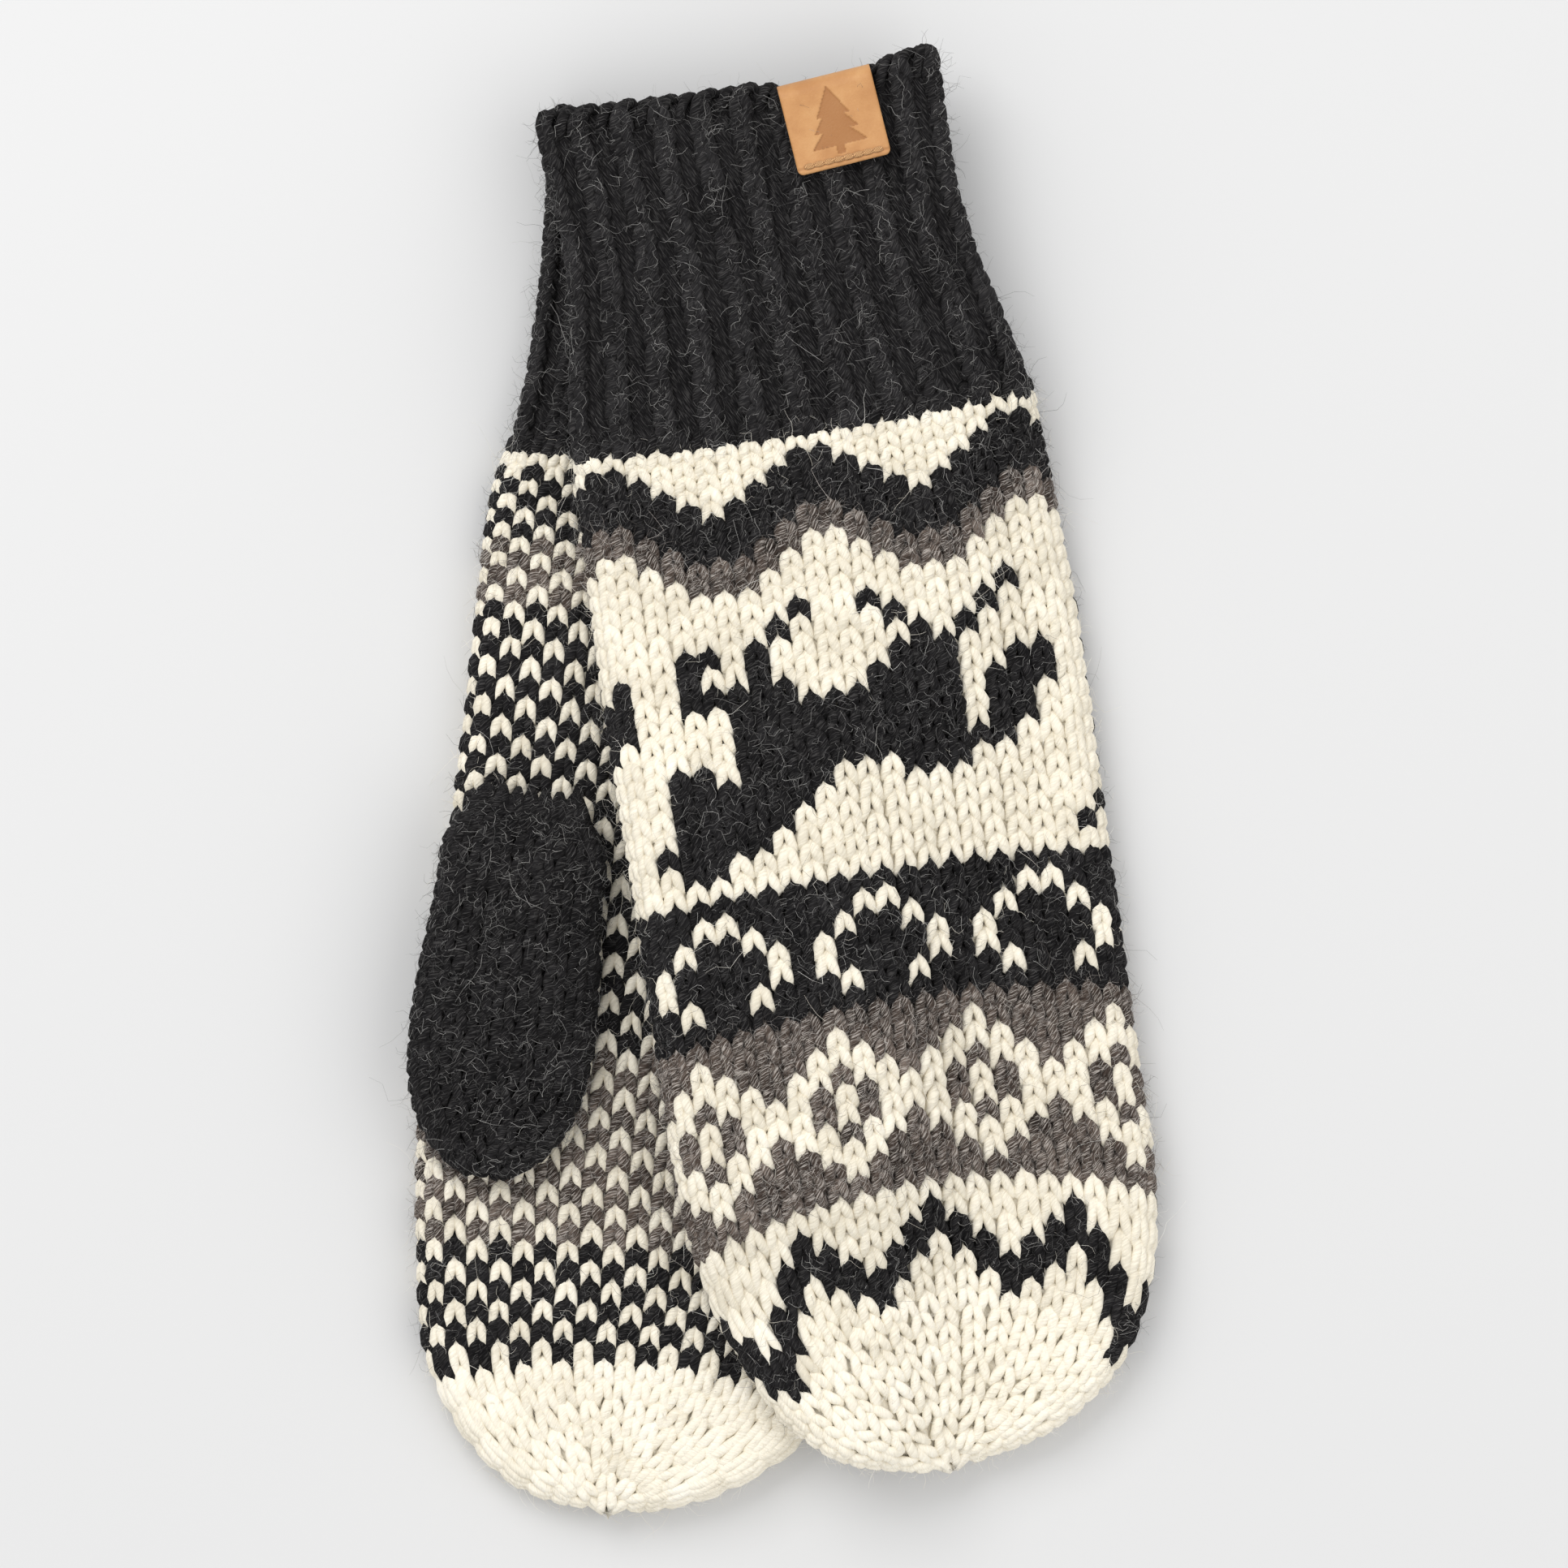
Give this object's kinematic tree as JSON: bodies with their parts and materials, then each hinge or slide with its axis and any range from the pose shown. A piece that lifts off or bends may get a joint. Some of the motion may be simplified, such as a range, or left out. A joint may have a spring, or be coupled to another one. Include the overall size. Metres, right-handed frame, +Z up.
{
  "type": "knitted mittens",
  "caption": "Pair of stranded knitted wool mittens with ribbed cuffs and a folded leather tab, lying flat one across the other.",
  "frame": {"origin": "on the table, under the middle of the box around the whole pair", "axes": "+Y towards the cuffs, +Z up from the table"},
  "size_m": [0.1518, 0.294, 0.0329],
  "materials": {
    "cream_wool": "undyed knitted wool",
    "charcoal_wool": "fuzzy heathered knitted wool",
    "brown_wool": "heathered knitted wool",
    "leather": "vegetable-tanned, debossed",
    "sewing_thread": "twisted thread"
  },
  "bodies": {
    "right_mitten": {"right_cuff": "charcoal_wool", "right_hand": "cream_wool", "right_fingertip": "cream_wool"},
    "right_thumb_body": {"right_thumb": "charcoal_wool"},
    "left_mitten": {"left_hand": "cream_wool", "left_fingertip": "cream_wool"},
    "left_wrist": {"left_cuff": "charcoal_wool", "leather_label": "leather", "label_stitches": "sewing_thread"},
    "left_thumb_body": {"left_thumb": "charcoal_wool"}
  },
  "joints": [
    {"name": "left_mitten_lift", "type": "slide", "parent": "right_mitten", "child": "left_mitten", "axis": [0, 0, 1], "range_m": [0, 0.08]},
    {"name": "left_wrist_bend", "type": "hinge", "parent": "left_mitten", "child": "left_wrist", "pos_m": [0.0013, 0.06967, 0.0238], "axis": [0.9884, 0.152, 0], "range_deg": [0, 45]},
    {"name": "left_thumb_drop", "type": "hinge", "parent": "left_mitten", "child": "left_thumb_body", "pos_m": [-0.01282, -0.00626, 0.0209], "axis": [0.9884, 0.152, 0], "range_deg": [0, 45]},
    {"name": "right_thumb_raise", "type": "hinge", "parent": "right_mitten", "child": "right_thumb_body", "pos_m": [-0.05132, -0.00556, 0.0119], "axis": [-0.9925, 0.1219, 0], "range_deg": [0, 50]}
  ],
  "couplings": [
    {"joint": "left_thumb_drop", "follows": "left_mitten_lift", "rad_per_m": 9.8}
  ]
}
